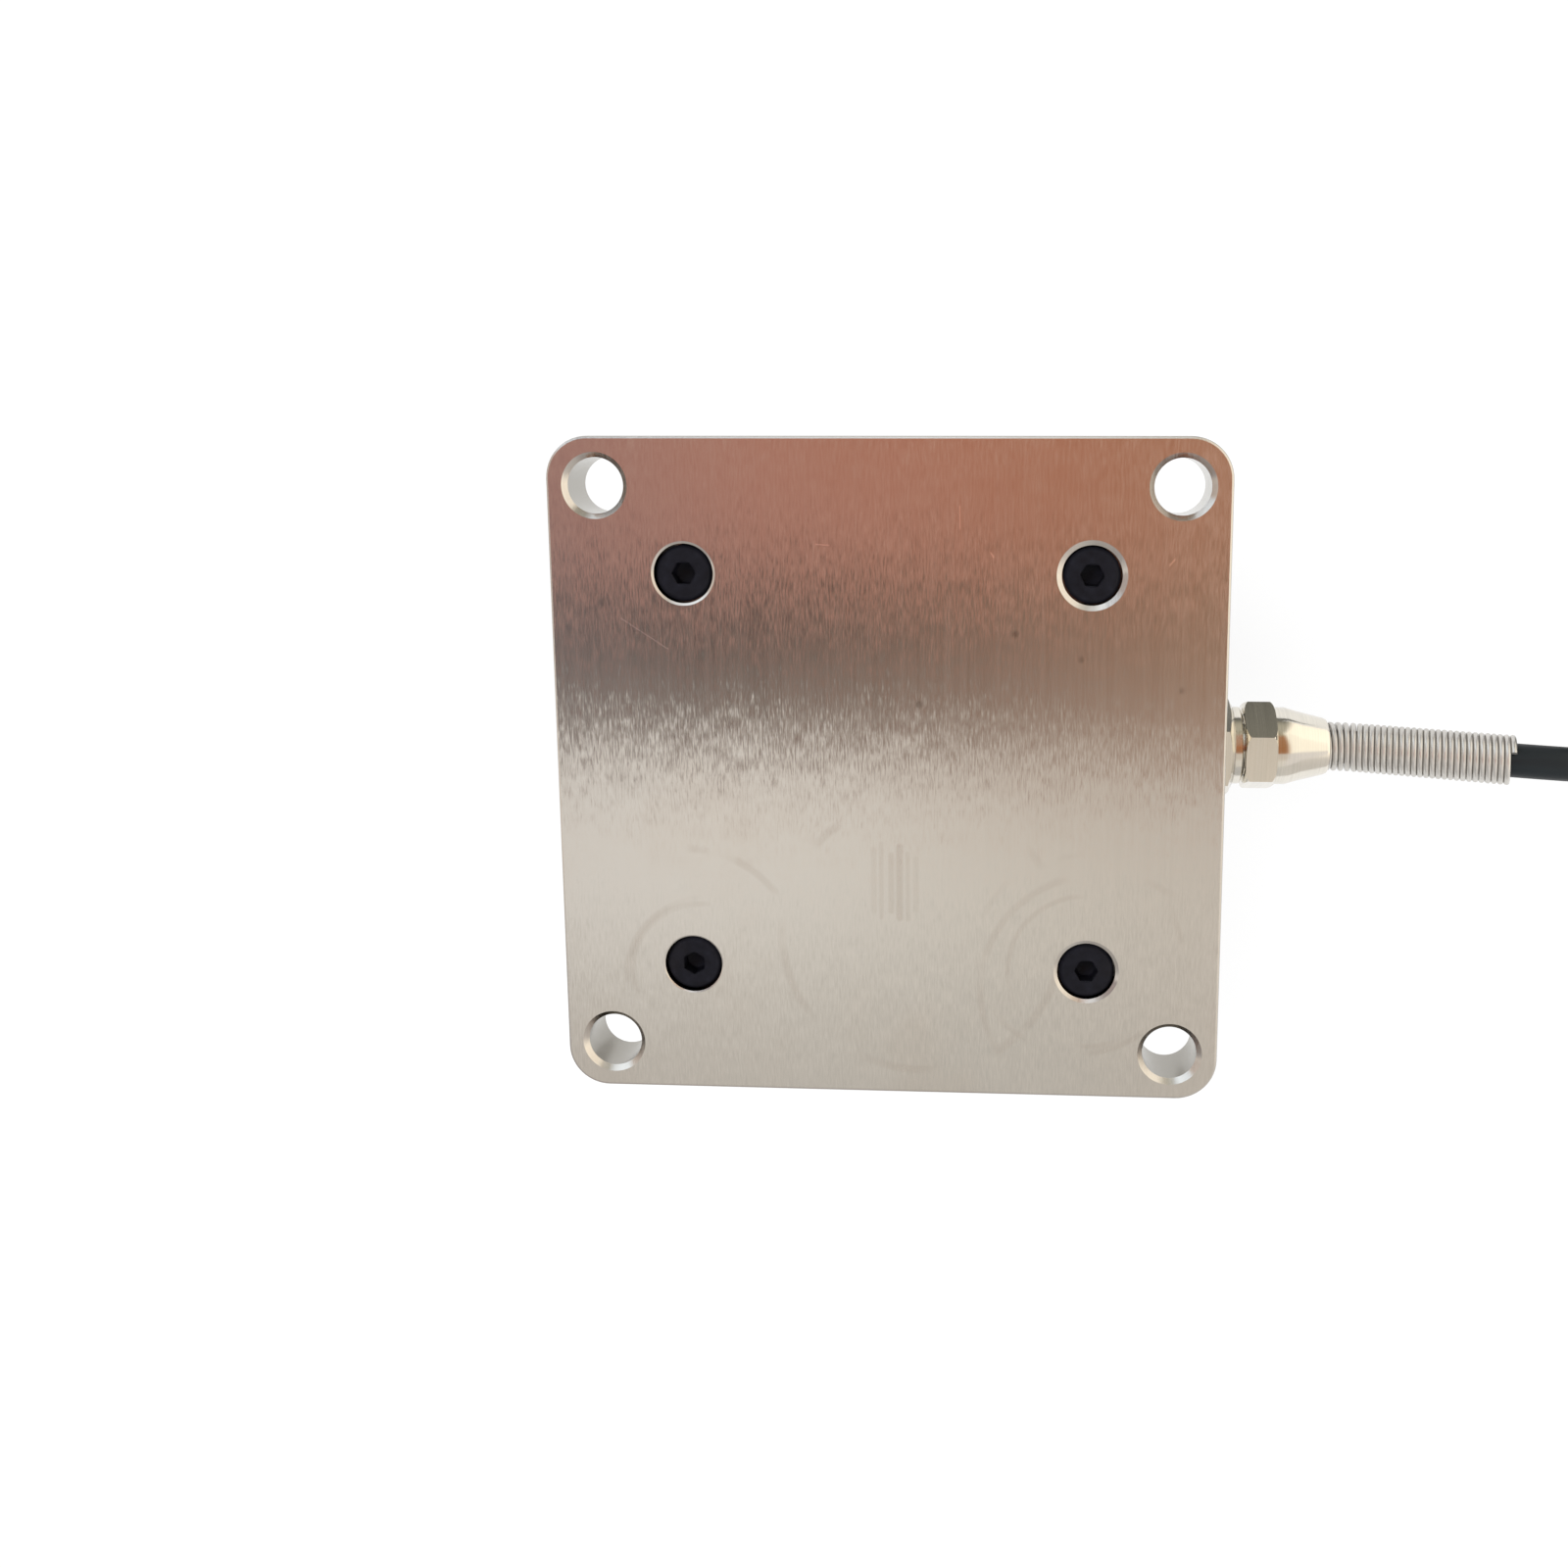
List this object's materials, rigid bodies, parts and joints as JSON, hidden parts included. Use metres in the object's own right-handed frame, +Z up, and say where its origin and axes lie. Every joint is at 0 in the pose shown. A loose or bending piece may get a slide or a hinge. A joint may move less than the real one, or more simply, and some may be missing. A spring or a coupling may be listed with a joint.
{
  "type": "strain gauge load cell",
  "caption": "Low-profile spoke-type load cell under a square mounting plate, with a side cable gland, spring strain relief and coiled cable, for weighing and force measurement.",
  "frame": {"origin": "centre of the load plate's lower face, on the surface that the cell stands on", "axes": "+Z up, out of the mounting plate's outer face; +X towards the cable gland; +Y along the mounting plate's side"},
  "size_m": [0.2075, 0.0991, 0.04],
  "materials": {
    "brushed_nickel_steel": "fine brushed grain along Y under bright nickel",
    "machined_steel": "fine turned steel",
    "black_oxide_steel": "matt black oxide",
    "nickel_plated_brass": "bright nickel plating",
    "spring_steel": "bright drawn wire",
    "black_rubber": "matt",
    "black_cable_jacket": "satin black jacket",
    "green_circuit_board": "solder mask",
    "gauge_film": "polyimide film",
    "red_insulation": "satin",
    "black_insulation": "satin",
    "green_insulation": "satin",
    "white_insulation": "satin"
  },
  "bodies": {
    "root": {"mounting_plate": "brushed_nickel_steel", "plate_screw_1": "black_oxide_steel", "plate_screw_2": "black_oxide_steel", "plate_screw_3": "black_oxide_steel", "plate_screw_4": "black_oxide_steel", "spoke_body": "machined_steel", "upper_cover": "machined_steel", "lower_cover": "machined_steel", "hub_seal": "black_rubber", "load_plate": "machined_steel", "load_screw_1": "black_oxide_steel", "load_screw_2": "black_oxide_steel", "load_screw_3": "black_oxide_steel", "load_screw_4": "black_oxide_steel", "locating_pin_1": "machined_steel", "locating_pin_2": "machined_steel", "strain_gauge_1": "gauge_film", "strain_gauge_2": "gauge_film", "strain_gauge_3": "gauge_film", "strain_gauge_4": "gauge_film", "strain_gauge_5": "gauge_film", "strain_gauge_6": "gauge_film", "strain_gauge_7": "gauge_film", "strain_gauge_8": "gauge_film", "bridge_board": "green_circuit_board", "board_spacer_1": "nickel_plated_brass", "board_spacer_2": "nickel_plated_brass", "board_screw_1": "nickel_plated_brass", "board_screw_2": "nickel_plated_brass", "core_red": "red_insulation", "core_black": "black_insulation", "core_green": "green_insulation", "core_white": "white_insulation", "gland_washer": "black_rubber", "gland_body": "nickel_plated_brass", "gland_bush": "black_rubber", "gland_nut": "nickel_plated_brass", "strain_relief_spring": "spring_steel", "cable": "black_cable_jacket", "cable_coil": "black_cable_jacket", "cable_tail": "black_cable_jacket", "cable_end_sleeve": "black_rubber", "lead_red": "red_insulation", "lead_black": "black_insulation", "lead_green": "green_insulation", "lead_white": "white_insulation"}
  },
  "joints": []
}
